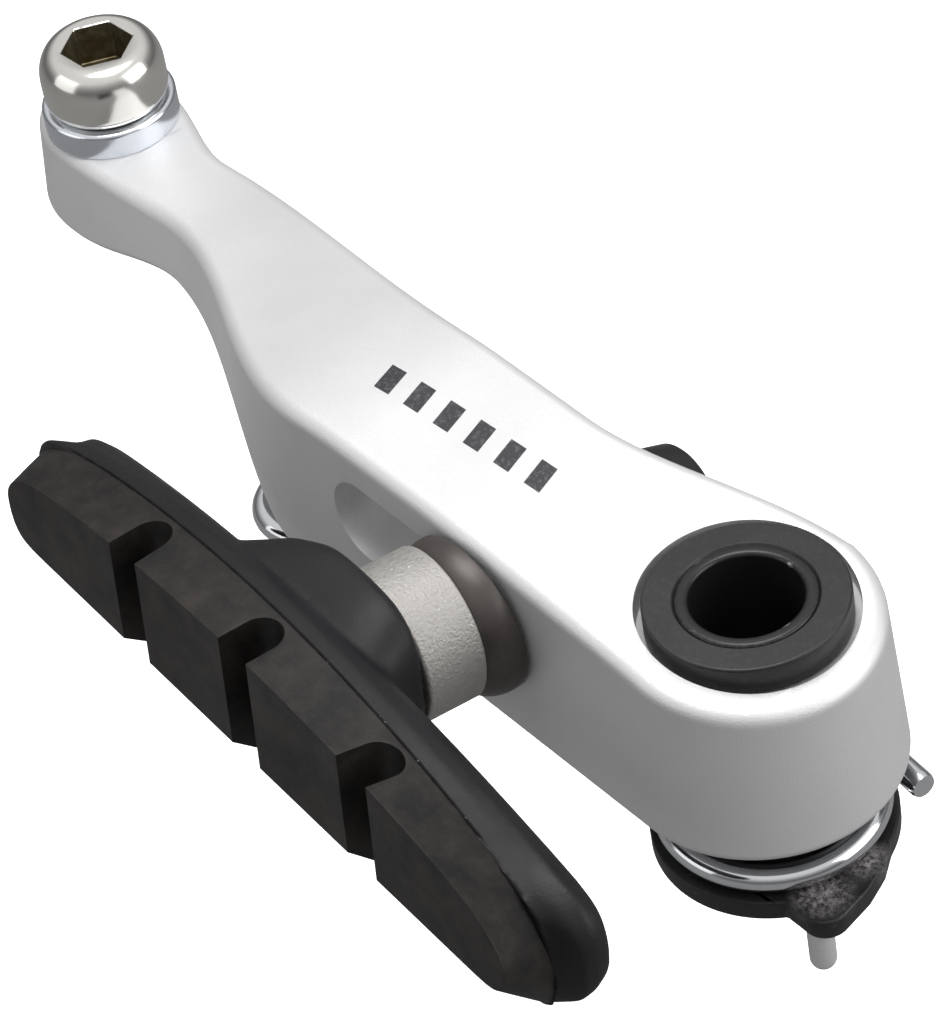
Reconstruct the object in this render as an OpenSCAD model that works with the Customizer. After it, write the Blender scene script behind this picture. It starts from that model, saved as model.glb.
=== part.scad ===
// One arm assembly of a linear-pull rim brake: pivot axis along Z, arm along X, rim side at +Y.
// Origin: on the pivot axis at the rear end of the pivot tube. All lengths in mm.

/* [Pivot] */
// length of the pivot tube
tube_len = 23.5; // [20:0.5:28]
// radius of the tube's bore, for an 8 mm frame boss
bore_r = 4.0; // [3.9:0.05:4.2]
// outer radius of the tube
tube_r = 5.0; // [4.6:0.1:5.4]
// outer radius of the front flange
flange_r = 7.25; // [6.5:0.05:8]
// thickness of the front flange
flange_t = 2.4; // [1.5:0.1:3]
// outer radius of the bearing sleeve
sleeve_r = 6.2; // [5.8:0.1:6.6]
// radius of the recess round the flange
recess_r = 7.8; // [7.5:0.1:8.5]

/* [Arm] */
// height of the arm's rear face
arm_z0 = 7.9; // [7:0.1:9]
// height of the arm's front face at its highest point
arm_z1 = 23.8; // [22:0.1:25]
// distance from the pivot axis to the cable bolt along X
cable_x = 83.7; // [75:0.1:105]
// sideways offset of the cable bolt
cable_y = -5.75; // [-8:0.05:0]
// height of the cable seat
seat_z = 16.6; // [15:0.1:18]
// half width of the cable end
boss_r = 6.1; // [5.6:0.1:7.5]
// reach of the cable end beyond the cable bolt
boss_l = 7.9; // [6:0.1:9]
// radius of the pivot end
end_r = 10.35; // [9.5:0.05:11]
// radius of the front edges
edge_r = 1.2; // [1:0.1:2.5]
// radius of the rear edges
rear_edge_r = 1.0; // [0.6:0.1:2]
// inward lean of the side walls from rear to front
draft = 0.6; // [0:0.1:1]

/* [Shoe slot] */
// height of the slot's centre
slot_z = 17.5; // [16:0.1:19]
// half the slot's width
slot_hw = 3.3; // [3.2:0.05:3.6]
// centre of the slot's end nearest the pivot
slot_x0 = 16.0; // [15:0.1:18]
// centre of the slot's far end
slot_x1 = 30.7; // [28:0.1:34]
// pad-side face that the cup washer bears on
web_y1 = 10.6; // [10:0.1:11]
// outer face of the slotted web
web_y0 = 3.6; // [2:0.1:5]
// half the height of the pocket round the outer washers
pocket_hw = 5.5; // [5.2:0.05:6]

/* [Shoe] */
// toe-in angle of the shoe in the arm
toe = 4.5; // [-8:0.5:8]
// upward tilt of the stud
tilt = 4.0; // [0:0.5:4]
// half the length of the braking face
shoe_hl = 31.8; // [30:0.1:36]
// distance from the spacer to the floor of the grooves
shoe_part = 7.7; // [7.5:0.1:9]
// distance from the spacer to the braking face
shoe_face = 11.7; // [10:0.1:14]
// spacing of the grooves
groove_gap = 14.6; // [12:0.1:18]
// width of a groove
groove_w = 3.4; // [2:0.1:4]

/* [Washers] */
// radius of the inner spherical face
ball_r = 8.1; // [7.8:0.1:8.4]
// radius of the outer spherical face
ball_s = 7.2; // [7:0.1:7.4]
// outer radius of the inner dome washer
dome_r = 6.2; // [6:0.1:6.6]
// radius of the thick spacer
spacer_r = 5.85; // [5.5:0.05:6.2]
// outer radius of the washers under the nut
outer_r = 5.0; // [4.9:0.1:5.2]

/* [Spring] */
// radius of the spring wire
wire_r = 1.0; // [0.8:0.05:1.1]
// mean radius of the coil
coil_r = 7.55; // [7.3:0.05:8]
// radius of the holder plate
plate_r = 8.9; // [8.6:0.1:10]
// distance from the pivot axis to the stopper pin
pin_pos = 9.8; // [9:0.1:11.5]
// angle of the stopper pin
pin_ang = 156; // [140:1:180]
// radius of the stopper pin
pin_r = 0.98; // [0.9:0.02:1.5]
// X position of the hook pin
hook_x = 45.3; // [42:0.1:48]
// Y position of the hook pin
hook_y = 5.3; // [3:0.1:7]

/* [Hidden] */
// radius of the M6 shoe stud
stud_r = 3.0;
// radius of the stopper pin inside the holder
pin_root_r = 0.6;
// X position of the arm's pivot end
arm_x0 = -end_r - 0.05;
// segments of the larger round parts
fn_round = 96;
// height of the coil wire where it lies on the holder plate
coil_z = 3.35;
// height of the wire's short end
short_z = 5.6;
// height of the long leg at the hook pin
leg_z = 6.75;
// common centre of the spherical washer faces, in the middle of the slotted web
ball_x = 17.9;
ball_y = (web_y0 + web_y1) / 2;
ball_z = slot_z;
// distance along the stud from the ball centre to the spacer's outer face
spacer_end = 10.75;
// distance along the stud from the ball centre to the flat washer
washer_v = -8.3;

function s01(t) = t <= 0 ? 0 : t >= 1 ? 1 : t * t * (3 - 2 * t);
function ramp(x, a, b) = s01((x - a) / (b - a));

// outline of the arm seen from the front
function side_pad(x) = end_r + 0.35 - (end_r + 0.35 - 0.1) * ramp(x, 38, 71) + 0.25 * ramp(x, 74, 83);
function side_far(x) =
    -5.15 - (end_r - 0.35 - 5.15) * (1 - ramp(x, -2, 22))
    - 3.95 * ramp(x, 36, 72) - 2.75 * ramp(x, 72, 83.7);
// narrowing of the rounded ends, 1 along the straight middle
function cap_k(x) =
    x < 0 ? sqrt(max(0, 1 - pow(x / arm_x0, 2)))
    : x > cable_x ? sqrt(max(0, 1 - pow((x - cable_x) / boss_l, 2)))
    : 1;
function mid_y(x) = x < 0 ? 0.35 : x > cable_x ? cable_y : (side_pad(x) + side_far(x)) / 2;
function half_y(x) =
    x < 0 ? end_r * cap_k(x)
    : x > cable_x ? boss_r * cap_k(x)
    : (side_pad(x) - side_far(x)) / 2;
// front and rear faces of the arm seen from the side
function face_front(x) =
    arm_z1 - 2.4 * pow(max(0, 25 - x) / 35, 2) - (arm_z1 - seat_z) * ramp(x, 31.5, 79.5);
function face_rear(x) = arm_z0 + 3.5 * ramp(x, 43, 54) - 3.2 * ramp(x, 68, 83);

// places along X where the arm's outline is set, close together round both ends
stations = concat(
    [for (a = [0:10:80]) arm_x0 * cos(a)],
    [for (i = [0:24]) cable_x * i / 24],
    [for (a = [80:-10:0]) cable_x + boss_l * cos(a)]
);
n_st = len(stations) - 1;
outline = concat(
    [for (i = [0:n_st]) let (x = stations[i]) [x, mid_y(x) + half_y(x)]],
    [for (i = [n_st - 1:-1:1]) let (x = stations[i]) [x, mid_y(x) - half_y(x)]]
);
n_out = len(outline);
function out_at(i) = outline[(i + n_out) % n_out];
function inward(i) = let (d = out_at(i + 1) - out_at(i - 1)) [d[1], -d[0]] / norm(d);

// closed solid through rings of points; each ring's first half mirrors its second half
module skin(rings) {
    n = len(rings[0]);
    m = len(rings);
    h = n / 2;
    pts = [for (r = rings) for (p = r) p];
    sides = [
        for (k = [0:m - 2]) for (i = [0:n - 1]) for (t = [0, 1])
            let (j = (i + 1) % n)
                t == 0 ? [k * n + i, k * n + j, (k + 1) * n + j]
                : [k * n + i, (k + 1) * n + j, (k + 1) * n + i]
    ];
    low = [
        for (i = [0:h - 1]) for (t = [0, 1])
            let (a = i, b = i + 1, c = (n - i) % n, d = n - i - 1)
                if ((t == 0 && b != d) || (t == 1 && a != c))
                    t == 0 ? [b, a == c ? a : c, d] : [a, c, b]
    ];
    high = [for (f = low) [for (v = [2:-1:0]) f[v] + (m - 1) * n]];
    polyhedron(points = pts, faces = concat(sides, low, high), convexity = 10);
}

// the arm's outline moved inward, a depth below the front face or above the rear face
function arm_ring(inset, front, depth) = [
    for (i = [0:n_out - 1])
        let (x = out_at(i)[0], p = out_at(i) + inset * inward(i))
            [p[0], p[1], front ? face_front(x) - depth : face_rear(x) + depth]
];

module arm_body() {
    rear = [
        for (a = [90:-30:0])
            arm_ring(rear_edge_r * (1 - cos(a)), false, rear_edge_r * (1 - sin(a)))
    ];
    front = [
        for (a = [0:22.5:90])
            arm_ring(draft + edge_r * (1 - cos(a)), true, edge_r * (1 - sin(a)))
    ];
    skin(concat(rear, front));
}

// stadium-shaped prism along Y
module stadium(x0, x1, z, r, y0, y1) {
    for (x = [x0, x1])
        translate([x, y1, z])
            rotate([90, 0, 0])
                cylinder(r = r, h = y1 - y0, $fn = 64);
    translate([x0, y0, z - r])
        cube([x1 - x0, y1 - y0, 2 * r]);
}

module arm() {
    color([0.78, 0.79, 0.8])
        difference() {
            arm_body();
            translate([0, 0, -1])
                cylinder(r = sleeve_r, h = 40, $fn = fn_round);
            translate([0, 0, tube_len - flange_t - 0.1])
                cylinder(r = recess_r, h = 10, $fn = fn_round);
            translate([cable_x, cable_y, 0])
                cylinder(r = 3.03, h = 30, $fn = 64);
            translate([cable_x, cable_y, seat_z])
                cylinder(r = 5.5, h = 5, $fn = 64);
            stadium(slot_x0, slot_x1, slot_z, slot_hw, -20, 20);
            stadium(15.0, 33.0, slot_z - 0.15, pocket_hw, -20, web_y0);
            translate([hook_x, hook_y, 0])
                cylinder(r = 1.5, h = 12, $fn = 48);
        }
}

module pivot_tube() {
    color([0.12, 0.12, 0.13])
        rotate_extrude($fn = fn_round)
            polygon([
                [bore_r, 0], [tube_r - 0.3, 0], [tube_r, 0.3],
                [tube_r, tube_len - 0.3], [tube_r - 0.3, tube_len],
                [bore_r + 0.3, tube_len], [bore_r, tube_len - 0.3]
            ]);
}

module front_flange() {
    color([0.1, 0.1, 0.11])
        translate([0, 0, tube_len - flange_t])
            rotate_extrude($fn = fn_round)
                polygon([
                    [tube_r, 0], [flange_r - 0.2, 0], [flange_r, 0.2],
                    [flange_r, flange_t - 0.3], [flange_r - 0.3, flange_t - 0.05],
                    [tube_r + 0.15, flange_t - 0.05], [tube_r, flange_t - 0.2]
                ]);
}

module bearing_sleeve() {
    color([0.85, 0.85, 0.8])
        translate([0, 0, arm_z0])
            difference() {
                cylinder(r = sleeve_r, h = tube_len - flange_t - 0.1 - arm_z0, $fn = fn_round);
                translate([0, 0, -1])
                    cylinder(r = tube_r + 0.04, h = 30, $fn = fn_round);
            }
}

module rear_washer() {
    color([0.55, 0.56, 0.58])
        translate([0, 0, 6.95])
            difference() {
                cylinder(r = 6.4, h = 0.9, $fn = fn_round);
                translate([0, 0, -1])
                    cylinder(r = tube_r, h = 3, $fn = fn_round);
            }
}

module spring_holder() {
    px = pin_pos * cos(pin_ang);
    py = pin_pos * sin(pin_ang);
    color([0.08, 0.08, 0.085])
        difference() {
            union() {
                translate([0, 0, 0.5])
                    linear_extrude(1.7)
                        holder_outline();
                translate([0, 0, 1.0])
                    cylinder(r = 6.35, h = 5.9, $fn = fn_round);
                // ear that carries the tension screw
                translate([3.7, -11.6, 1.0])
                    cube([4.6, 2.6, 4.5]);
            }
            translate([0, 0, -1])
                cylinder(r = tube_r, h = 12, $fn = fn_round);
            translate([px, py, -1])
                cylinder(r = pin_root_r, h = 2.8, $fn = 40);
            translate([6.0, -20, coil_z])
                rotate([-90, 0, 0])
                    cylinder(r = 1.5, h = 12.5, $fn = 40);
        }
}

// round plate with a rounded lobe over the stopper pin and a tab for the ear
module holder_outline() {
    circle(r = plate_r, $fn = fn_round);
    translate([-9.25, 3.55])
        circle(r = 1.75, $fn = 48);
    polygon([
        [-6, 5.22], [-9.2, 5.22], [-10.9, 3.2], [-10.35, 0.45],
        [-9.4, -1.9], [-8.0, -3.5], [-4, -2]
    ]);
    translate([3.7, -11.6])
        square([4.6, 7]);
}

module stopper_pin() {
    color([0.72, 0.73, 0.72])
        translate([pin_pos * cos(pin_ang), pin_pos * sin(pin_ang), 0])
            rotate_extrude($fn = 40)
                polygon(concat(
                    [for (a = [0:15:75]) [pin_r * sin(a), -3.0 - pin_r * cos(a)]],
                    [[pin_r, -3.0], [pin_r, 0.42], [pin_root_r, 0.42], [pin_root_r, 1.8], [0, 1.8]]
                ));
}

// points along the spring wire: short end, coil, long leg, hook
leg_a = 12.6;
coil_in = 265;
coil_out = 630 + leg_a;
function coil_h(a) = short_z - (short_z - coil_z) * ramp(a, coil_in + 10, coil_in + 170);
leg_p0 = coil_r * [cos(coil_out), sin(coil_out)];
hook_rr = 3.9;
leg_len = 39.0;
// point at radius r and angle a round a centre, moved t along the tangent
function along(c, r, a, t) = [c[0] + r * cos(a) - t * sin(a), c[1] + r * sin(a) + t * cos(a)];
function at_height(p, z) = [p[0], p[1], z];
hook_c = [hook_x, hook_y];
wire_path = concat(
    [for (t = [7.9:-1.58:1.58]) at_height(along([0, 0], coil_r, coil_in, -t), short_z)],
    [for (a = [coil_in:7.5:coil_out]) at_height(along([0, 0], coil_r, a, 0), coil_h(a))],
    [for (t = [1.5:2.5:leg_len])
        at_height(leg_p0 + t * [cos(leg_a), sin(leg_a)], coil_z + (leg_z - coil_z) * ramp(t, 2, 16))],
    [for (a = [leg_a - 90:12:leg_a + 105]) at_height(along(hook_c, hook_rr, a, 0), leg_z)],
    [for (t = [1.2, 2.4]) at_height(along(hook_c, hook_rr, leg_a + 105, t), leg_z)]
);

module tube_along(path, r, n) {
    m = len(path);
    rings = [for (k = [0:m - 1])
        let (
            d = path[min(m - 1, k + 1)] - path[max(0, k - 1)],
            t = d / norm(d),
            s0 = cross([0, 0, 1], t),
            s = s0 / norm(s0),
            u = cross(t, s)
        )
        [for (i = [0:n - 1]) path[k] + r * (cos(360 * i / n) * u + sin(360 * i / n) * s)]];
    skin(rings);
}

module return_spring() {
    color([0.75, 0.77, 0.8])
        tube_along(wire_path, wire_r, 16);
}

module hook_pin() {
    color([0.6, 0.61, 0.62])
        translate([hook_x, hook_y, 5.1])
            rotate_extrude($fn = 48)
                polygon([
                    [0, 0], [2.9, 0], [3.1, 0.2], [3.1, 0.45],
                    [1.5, 0.45], [1.5, 5.9], [1.2, 6.2], [0, 6.2]
                ]);
}

module hook_sleeve() {
    color([0.15, 0.15, 0.16])
        translate([hook_x, hook_y, 5.6])
            difference() {
                cylinder(r = 2.75, h = 2.25, $fn = 48);
                translate([0, 0, -1])
                    cylinder(r = 1.5, h = 5, $fn = 48);
            }
}

module tension_screw() {
    color([0.6, 0.61, 0.62])
        translate([6.0, -7.9, coil_z])
            rotate([90, 0, 0])
                difference() {
                    union() {
                        cylinder(r = 1.48, h = 4.6, $fn = 40);
                        translate([0, 0, 4.0])
                            cylinder(r1 = 2.3, r2 = 2.0, h = 1.6, $fn = 40);
                    }
                    // cross slot for a screwdriver
                    translate([-1.4, -0.3, 4.9])
                        cube([2.8, 0.6, 2]);
                    translate([-0.3, -1.4, 4.9])
                        cube([0.6, 2.8, 2]);
                }
}

module cable_bolt() {
    color([0.8, 0.8, 0.78])
        translate([cable_x, cable_y, seat_z])
            difference() {
                rotate_extrude($fn = fn_round)
                    polygon(concat(
                        [[0, -8.0], [2.6, -8.0], [3.0, -7.6], [3.0, 2.3]],
                        [[4.3, 2.4], [4.85, 2.75], [5.0, 3.2]],
                        [for (a = [0:12:72]) [3.35 + 1.65 * cos(a), 4.9 + 2.45 * sin(a)]],
                        [[3.35, 7.4], [0, 7.4]]
                    ));
                translate([0, 0, 3.9])
                    rotate([0, 0, 4])
                        cylinder(r = 2.9, h = 6, $fn = 6);
            }
}

module cable_washer() {
    color([0.72, 0.75, 0.8])
        translate([cable_x, cable_y, seat_z])
            difference() {
                rotate_extrude($fn = fn_round)
                    polygon([
                        [3.05, 0], [5.3, 0], [5.4, 0.1], [5.4, 1.85],
                        [5.28, 2.12], [5.0, 2.25], [3.05, 2.25]
                    ]);
                // groove that the cable lies in
                translate([3.35, -10, -0.5])
                    cube([1.4, 20, 1.1]);
            }
}

// places children in the shoe's own frame: X along the shoe, Y out along the stud,
// origin at the common centre of the spherical washer faces
module at_shoe() {
    translate([ball_x, ball_y, ball_z])
        rotate([0, 0, -toe])
            rotate([tilt, 0, 0])
                children();
}

shoe_n = 36;
function shoe_e(t, n) = pow(max(0, 1 - pow(abs(t), n)), 0.5);
// outline of the shoe at one depth: arched top, straight sloping underside, rounded ends
function shoe_hi(u, q) = q[2] - q[4] * u * u + q[5] * u;
function shoe_lo(u, q) = -q[3] - q[6] * u;
function shoe_mid(u, q) = (shoe_hi(u, q) + shoe_lo(u, q)) / 2;
function shoe_half(u, q) = (shoe_hi(u, q) - shoe_lo(u, q)) / 2;
// place across the shoe on the upper outline (n > 0) or the lower one (n < 0)
function shoe_w(u, t, q, n) = shoe_mid(u, q) + sign(n) * shoe_e(t, abs(n)) * shoe_half(u, q);
shoe_us = [for (i = [0:shoe_n]) -cos(180 * i / shoe_n)];
function shoe_point(t, q, v, n) = let (u = q[7] + q[0] * t) [u, v, shoe_w(u, t, q, n)];
function shoe_ring(q, v, n_low) = concat(
    [for (i = [0:shoe_n]) shoe_point(shoe_us[i], q, v, 14)],
    [for (i = [shoe_n - 1:-1:1]) shoe_point(shoe_us[i], q, v, -n_low)]
);
function flip(q) = [for (k = [len(q) - 1:-1:0]) q[k]];
function boss_ring(u, w, a, b, v) = [
    for (i = [0:2 * shoe_n - 1])
        [u - a * cos(180 * i / shoe_n), v, w + b * sin(180 * i / shoe_n)]
];

// each ring of the holder: half length, depth, height above and below the stud, arch, lean, slope, shift
back_rings = [
    [shoe_hl - 0.8, 3.2, 3.4, 4.3, 0.0030, -0.01, 0, 0],
    [shoe_hl + 0.2, 3.7, 4.7, 5.2, 0.0035, -0.01, 0, 0],
    [shoe_hl + 0.6, 4.8, 6.2, 5.8, 0.0042, 0, 0, 0],
    [shoe_hl + 0.6, 6.0, 6.9, 6.1, 0.0050, 0.01, 0, 0],
    [shoe_hl + 1.1, 7.2, 6.95, 6.6, 0.0052, 0.016, 0, 2.3],
    [shoe_hl + 0.9, shoe_part, 6.9, 6.2, 0.0050, 0.011, 0.004, 2.1]
];
// each ring of the blocks, the depth as a share of the blocks' own depth
block_rings = [
    [shoe_hl + 0.8, -0.1, 6.8, 6.1, 0.0051, 0.012, 0.004, 2.1],
    [shoe_hl + 0.7, 0.05, 6.8, 5.9, 0.0050, 0.010, 0.006, 2.0],
    [shoe_hl, 1, 6.7, 3.05, 0.0035, -0.027, 0.04, 0.2]
];
// each ring of the boss: centre, half width, half height, depth
boss_rings = [
    [0.9, 0.6, 6.2, 6.2, 0.05],
    [0.9, 0.6, 6.8, 6.4, 0.5],
    [1.6, 0.6, 8.8, 6.3, 1.6],
    [2.4, 0.4, 12, 5.9, 3.0],
    [2.6, 0.1, 16, 5.5, 4.4],
    [2.6, 0, 19, 5.2, 5.6]
];

module shoe_rubber() {
    v0 = spacer_end;
    color([0.07, 0.07, 0.075])
        at_shoe()
            difference() {
                union() {
                    skin([for (q = flip(back_rings)) shoe_ring(q, v0 + q[1], 40)]);
                    for (k = [-1.5:1:1.5])
                        shoe_block(k);
                    skin([for (q = flip(boss_rings)) boss_ring(q[0], q[1], q[2], q[3], v0 + q[4])]);
                }
                translate([0, v0 - 1, 0])
                    rotate([-90, 0, 0])
                        cylinder(r = stud_r + 0.02, h = 8.0, $fn = 48);
                plate_shape();
            }
}

// one friction block with sloping sides
module shoe_block(k) {
    v0 = spacer_end + shoe_part;
    d = shoe_face - shoe_part;
    intersection() {
        skin([for (q = flip(block_rings)) shoe_ring(q, v0 + q[1] * d, 14)]);
        translate([k * groove_gap - (groove_gap - groove_w) / 2 - (k < -1 ? 10 : 0), v0 - 0.5, -15])
            cube([groove_gap - groove_w + (abs(k) > 1 ? 10 : 0), d + 2, 30]);
    }
}

module plate_shape() {
    translate([-21, spacer_end + 5.3, -3.4])
        cube([42, 1.4, 6.8]);
}

module shoe_plate() {
    color([0.5, 0.51, 0.52])
        at_shoe()
            difference() {
                plate_shape();
                rotate([-90, 0, 0])
                    cylinder(r = stud_r, h = 20, $fn = 48);
            }
}

module shoe_stud() {
    color([0.55, 0.56, 0.58])
        at_shoe()
            translate([0, washer_v - 4.3, 0])
                rotate([-90, 0, 0])
                    cylinder(r = stud_r - 0.01, h = spacer_end + 6.9 + 4.3 - washer_v, $fn = 48);
}

// thick washer whose hollow face turns on the inner dome
module spacer() {
    b = ball_r + 0.03;
    color([0.66, 0.64, 0.61])
        at_shoe()
            rotate([-90, 0, 0])
                rotate_extrude($fn = fn_round)
                    polygon(concat(
                        [[stud_r + 0.1, spacer_end]],
                        [for (r = [stud_r + 0.1:0.25:5.6]) [r, sqrt(b * b - r * r)]],
                        [[spacer_r, 6.05], [spacer_r, spacer_end - 0.25], [spacer_r - 0.25, spacer_end]]
                    ));
}

// domed washer that lies flat on the pad side of the arm
module inner_dome() {
    y = web_y1 - ball_y;
    color([0.3, 0.29, 0.29])
        translate([ball_x, ball_y, ball_z])
            rotate([-90, 0, 0])
                rotate_extrude($fn = fn_round)
                    polygon(concat(
                        [[4.2, y], [dome_r - 0.1, y], [dome_r, y + 0.15], [dome_r, y + 1.55]],
                        [for (r = [dome_r - 0.1:-0.19:4.2]) [r, sqrt(ball_r * ball_r - r * r)]]
                    ));
}

// domed washer on the far side of the slotted web
module outer_dome() {
    y = ball_y - web_y0;
    color([0.6, 0.6, 0.6])
        translate([ball_x, ball_y, ball_z])
            rotate([90, 0, 0])
                rotate_extrude($fn = fn_round)
                    polygon(concat(
                        [[4.2, y], [outer_r - 0.1, y], [outer_r, y + 0.1], [outer_r, y + 1.2]],
                        [for (r = [4.8:-0.2:4.2]) [r, sqrt(ball_s * ball_s - r * r)]]
                    ));
}

// hollow washer that turns on the outer dome
module outer_cup() {
    b = ball_s + 0.03;
    color([0.35, 0.35, 0.36])
        at_shoe()
            rotate([90, 0, 0])
                rotate_extrude($fn = fn_round)
                    polygon(concat(
                        [[stud_r + 0.1, -washer_v]],
                        [for (r = [stud_r + 0.1:0.2:4.75]) [r, sqrt(b * b - r * r)]],
                        [[outer_r, 5.4], [outer_r, -washer_v - 0.1], [outer_r - 0.1, -washer_v]]
                    ));
}

module flat_washer() {
    color([0.7, 0.7, 0.72])
        at_shoe()
            translate([0, washer_v, 0])
                rotate([90, 0, 0])
                    difference() {
                        cylinder(r = outer_r - 0.1, h = 1.0, $fn = 64);
                        translate([0, 0, -1])
                            cylinder(r = stud_r + 0.1, h = 3, $fn = 48);
                    }
}

// round nut with a hexagon socket
module shoe_nut() {
    color([0.1, 0.1, 0.105])
        at_shoe()
            translate([0, washer_v - 1.0, 0])
                rotate([90, 0, 0])
                    difference() {
                        rotate_extrude($fn = 72)
                            polygon([
                                [0, 0], [4.4, 0], [4.5, 0.1], [4.5, 4.2],
                                [4.1, 6.0], [3.8, 6.4], [0, 6.4]
                            ]);
                        translate([0, 0, -1])
                            cylinder(r = stud_r, h = 4.4, $fn = 48);
                        translate([0, 0, 3.1])
                            cylinder(r = 2.9, h = 4, $fn = 6);
                    }
}

arm();
pivot_tube();
front_flange();
bearing_sleeve();
rear_washer();
spring_holder();
stopper_pin();
return_spring();
hook_pin();
hook_sleeve();
tension_screw();
cable_bolt();
cable_washer();
shoe_rubber();
shoe_plate();
shoe_stud();
spacer();
inner_dome();
outer_dome();
outer_cup();
flat_washer();
shoe_nut();
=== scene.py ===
import math

import bmesh
import bpy
from mathutils import Matrix, Vector
from mathutils.noise import noise as uneven


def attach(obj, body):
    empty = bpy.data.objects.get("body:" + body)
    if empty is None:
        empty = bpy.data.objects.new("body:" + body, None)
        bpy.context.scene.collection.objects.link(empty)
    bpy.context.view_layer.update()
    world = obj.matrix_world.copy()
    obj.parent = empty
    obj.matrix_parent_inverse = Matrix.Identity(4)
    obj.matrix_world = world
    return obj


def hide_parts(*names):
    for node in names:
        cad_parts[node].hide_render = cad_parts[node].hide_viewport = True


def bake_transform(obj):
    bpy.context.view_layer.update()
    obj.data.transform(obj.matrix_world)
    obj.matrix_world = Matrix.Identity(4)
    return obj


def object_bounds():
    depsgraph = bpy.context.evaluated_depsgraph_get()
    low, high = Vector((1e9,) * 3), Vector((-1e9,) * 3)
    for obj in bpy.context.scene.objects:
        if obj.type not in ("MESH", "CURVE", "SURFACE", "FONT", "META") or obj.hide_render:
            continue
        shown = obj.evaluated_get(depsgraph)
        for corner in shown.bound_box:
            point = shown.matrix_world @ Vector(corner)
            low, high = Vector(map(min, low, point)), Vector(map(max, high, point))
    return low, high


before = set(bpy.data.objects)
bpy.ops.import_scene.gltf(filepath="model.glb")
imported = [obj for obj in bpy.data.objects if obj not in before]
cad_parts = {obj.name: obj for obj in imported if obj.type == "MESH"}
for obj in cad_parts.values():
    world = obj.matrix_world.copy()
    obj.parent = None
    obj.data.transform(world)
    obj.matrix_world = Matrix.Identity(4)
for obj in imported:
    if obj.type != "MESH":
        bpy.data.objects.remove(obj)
CAD_LOW, CAD_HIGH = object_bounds()
SCENE = bpy.context.scene
# the frame is in metres; shapes below are written in mm and turned into metres by make() and moved()
MM = 0.001


# ---------------------------------------------------------------- camera and light

# the camera: lens and sensor in mm, its place and clipping in metres, and how it is turned about X, Y and Z
# in degrees, found from the round parts and straight edges of the photographed object
LENS, SENSOR = 175.78, 36.0
CAMERA_PLACE = (-0.196951, 0.144902, 0.258797)
CAMERA_TURN = (47.0595, 7.4666, -129.2051)
CLIP_NEAR, CLIP_FAR = 0.01, 20.0

# the sky's shade: at the horizon and below, straight up, and (height, grey) between them, a touch blue
SKY_LOW, SKY_HIGH = (0.14, 0.14, 0.145, 1), (0.8, 0.8, 0.8, 1)
SKY_STEPS, SKY_BLUE = ((0.15, 0.18), (0.35, 0.36), (0.6, 0.72)), 1.01

# soft square lights, all aimed at one point: name, place and width in metres, watts
AIM = (0.035, 0.0, 0.01)
LIGHTS = (
    ("key", (0.055, -0.03, 0.29), 0.16, 0.5),
    ("fill_pad_side", (0.20, 0.42, 0.16), 0.35, 0.35),
    ("fill_far_side", (-0.38, -0.30, 0.22), 0.40, 1.45),
)


def add_camera():
    data = bpy.data.cameras.new("camera")
    data.sensor_width = SENSOR
    data.lens = LENS
    data.clip_start, data.clip_end = CLIP_NEAR, CLIP_FAR
    data.dof.use_dof = False
    cam = bpy.data.objects.new("camera", data)
    SCENE.collection.objects.link(cam)
    cam.location = CAMERA_PLACE
    cam.rotation_euler = [math.radians(angle) for angle in CAMERA_TURN]
    SCENE.camera = cam


def add_light(name, place, size, watts):
    data = bpy.data.lights.new(name, "AREA")
    data.energy = watts
    data.size = size
    lamp = bpy.data.objects.new(name, data)
    SCENE.collection.objects.link(lamp)
    lamp.location = place
    lamp.rotation_euler = (Vector(AIM) - Vector(place)).to_track_quat("-Z", "Y").to_euler()


def add_world():
    world = bpy.data.worlds.new("studio")
    SCENE.world = world
    world.use_nodes = True
    t = world.node_tree
    t.nodes.clear()
    out = node(t, "ShaderNodeOutputWorld")
    back = node(t, "ShaderNodeBackground")
    split = node(t, "ShaderNodeSeparateXYZ")
    shades = node(t, "ShaderNodeValToRGB")
    link(t, node(t, "ShaderNodeTexCoord").outputs["Generated"], split.inputs[0])
    link(t, split.outputs["Z"], shades.inputs[0])
    stops = shades.color_ramp.elements
    stops[0].position, stops[0].color = 0.0, SKY_LOW
    stops[1].position, stops[1].color = 1.0, SKY_HIGH
    for height, grey in SKY_STEPS:
        stops.new(height).color = (grey, grey, grey * SKY_BLUE, 1)
    link(t, shades.outputs[0], back.inputs["Color"])
    link(t, back.outputs[0], out.inputs[0])


# ---------------------------------------------------------------- shader nodes

def node(tree, kind, **values):
    """A new node; a value sets the input of that name, or else the node's own setting."""
    n = tree.nodes.new(kind)
    for key, value in values.items():
        if key in n.inputs:
            n.inputs[key].default_value = value
        else:
            setattr(n, key, value)
    return n


def link(tree, a, b):
    tree.links.new(a, b)


def noise(tree, scale, detail=4.0, rough=0.55):
    n = node(tree, "ShaderNodeTexNoise", Scale=scale, Detail=detail, Roughness=rough)
    link(tree, node(tree, "ShaderNodeTexCoord").outputs["Object"], n.inputs["Vector"])
    return n.outputs["Fac"]


def span(tree, value, low, high, to_low, to_high):
    """Stretches a value from low..high to to_low..to_high, and holds it there."""
    m = node(tree, "ShaderNodeMapRange")
    m.inputs["From Min"].default_value = low
    m.inputs["From Max"].default_value = high
    m.inputs["To Min"].default_value = to_low
    m.inputs["To Max"].default_value = to_high
    link(tree, value, m.inputs["Value"])
    return m.outputs[0]


def maths(tree, operation, *terms):
    """One maths node; each term is a number or a socket."""
    n = node(tree, "ShaderNodeMath", operation=operation)
    for s, v in zip(n.inputs, terms):
        if isinstance(v, (int, float)):
            s.default_value = v
        else:
            link(tree, v, s)
    return n.outputs[0]


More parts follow.
